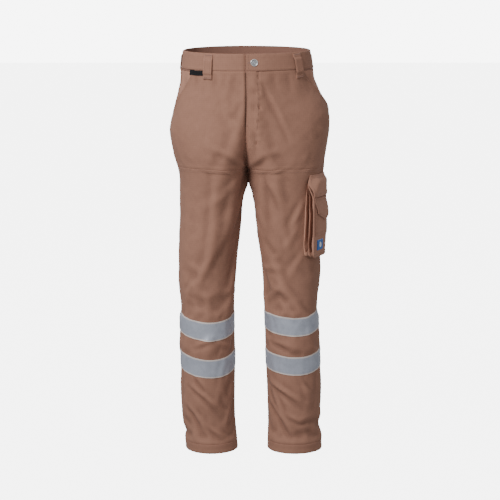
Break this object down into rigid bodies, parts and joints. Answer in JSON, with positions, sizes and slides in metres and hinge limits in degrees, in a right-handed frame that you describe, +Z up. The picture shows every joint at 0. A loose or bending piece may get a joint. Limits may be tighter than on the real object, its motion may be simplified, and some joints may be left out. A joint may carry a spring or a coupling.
{
  "type": "work trousers",
  "caption": "Brown cargo work trousers with silver reflective bands below the knees, belt loops, a button and zip fly, slant hip pockets, flapped rear pockets and a flapped thigh pocket.",
  "frame": {"origin": "centre of the waist opening, level with the waistband's top edge at the sides", "axes": "+Z up along the body, +Y to the wearer's back, +X to the wearer's left"},
  "size_m": [0.4379, 0.2728, 1.0868],
  "materials": {
    "shell_cloth": "matt brown plain-weave cotton with a fine ripstop grid",
    "lining_cloth": "matt brown cotton, slightly darker",
    "zip_tape_cloth": "close dark brown woven tape",
    "tape_backing": "pale woven edge",
    "reflective_tape": "silver-grey reflective film with a fine bead grain",
    "touch_tape": "black hook and loop",
    "label_cloth": "black woven label, plain",
    "badge_rubber": "moulded blue badge, plain",
    "button_metal": "brushed silver, darker in its dished middle",
    "tack_metal": "dull",
    "zip_metal": "dull antique brass"
  },
  "bodies": {
    "garment": {"front_upper_left": "shell_cloth", "front_lower_left": "shell_cloth", "back_left": "shell_cloth", "hem_left": "shell_cloth", "front_upper_right": "shell_cloth", "front_lower_right": "shell_cloth", "back_right": "shell_cloth", "hem_right": "shell_cloth", "tape_backing_upper_left": "tape_backing", "tape_backing_lower_left": "tape_backing", "reflective_tape_upper_left": "reflective_tape", "reflective_tape_lower_left": "reflective_tape", "tape_backing_upper_right": "tape_backing", "tape_backing_lower_right": "tape_backing", "reflective_tape_upper_right": "reflective_tape", "reflective_tape_lower_right": "reflective_tape", "waistband_left": "shell_cloth", "waistband_lining_left": "lining_cloth", "waistband_right": "shell_cloth", "waistband_lining_right": "lining_cloth", "waistband_underlap": "lining_cloth", "button_tack": "tack_metal", "belt_loop_front_left": "shell_cloth", "belt_loop_front_right": "shell_cloth", "belt_loop_side_left": "shell_cloth", "belt_loop_side_right": "shell_cloth", "belt_loop_back_left": "shell_cloth", "belt_loop_back_right": "shell_cloth", "belt_loop_centre_back": "shell_cloth", "fly_facing": "lining_cloth", "zip_teeth_left": "zip_metal", "zip_teeth_right": "zip_metal", "zip_tape_left": "zip_tape_cloth", "zip_tape_right": "zip_tape_cloth", "fly_shield": "lining_cloth", "zip_bottom_stop": "zip_metal", "hip_pocket_facing_left": "shell_cloth", "hip_pocket_bag_left": "lining_cloth", "rear_pocket_left": "shell_cloth", "hip_pocket_facing_right": "shell_cloth", "hip_pocket_bag_right": "lining_cloth", "rear_pocket_right": "shell_cloth", "side_label": "label_cloth", "cargo_pocket": "shell_cloth", "cargo_hook_tape": "touch_tape", "cargo_flap_root": "shell_cloth", "phone_pocket": "shell_cloth", "badge": "badge_rubber"},
    "button": {"button_cap": "button_metal"},
    "zip_slider_body": {"zip_slider": "zip_metal"},
    "zip_pull_body": {"zip_pull": "zip_metal"},
    "cargo_flap_body": {"cargo_flap": "shell_cloth", "cargo_loop_tape": "touch_tape"},
    "phone_flap_body": {"phone_flap": "shell_cloth"},
    "rear_flap_left_body": {"rear_flap_left": "shell_cloth"},
    "rear_flap_right_body": {"rear_flap_right": "shell_cloth"}
  },
  "joints": [
    {"name": "button_spin", "type": "hinge", "parent": "garment", "child": "button", "pos_m": [0.01863, -0.1118, -0.03166], "axis": [0.1281, -0.9886, 0.0796], "continuous": true},
    {"name": "zip_slide", "type": "slide", "parent": "garment", "child": "zip_slider_body", "axis": [0.0069, -0.0693, -0.9976], "range_m": [0, 0.112]},
    {"name": "zip_pull_swing", "type": "hinge", "parent": "zip_slider_body", "child": "zip_pull_body", "pos_m": [0.01269, -0.10789, -0.06593], "axis": [-0.9989, -0.0476, -0.0036], "range_deg": [0, 3]},
    {"name": "cargo_flap_hinge", "type": "hinge", "parent": "garment", "child": "cargo_flap_body", "pos_m": [0.19923, -0.03305, -0.323], "axis": [-0.3746, -0.9272, 0], "range_deg": [0, 140]},
    {"name": "phone_flap_hinge", "type": "hinge", "parent": "garment", "child": "phone_flap_body", "pos_m": [0.19907, -0.04162, -0.383], "axis": [-0.3746, -0.9272, 0], "range_deg": [0, 80]},
    {"name": "rear_flap_left_hinge", "type": "hinge", "parent": "garment", "child": "rear_flap_left_body", "pos_m": [0.1241, 0.1031, -0.096], "axis": [0.8898, -0.4559, -0.018], "range_deg": [0, 100]},
    {"name": "rear_flap_right_hinge", "type": "hinge", "parent": "garment", "child": "rear_flap_right_body", "pos_m": [-0.1373, 0.085, -0.0967], "axis": [0.7819, 0.6229, 0.025], "range_deg": [0, 100]}
  ]
}
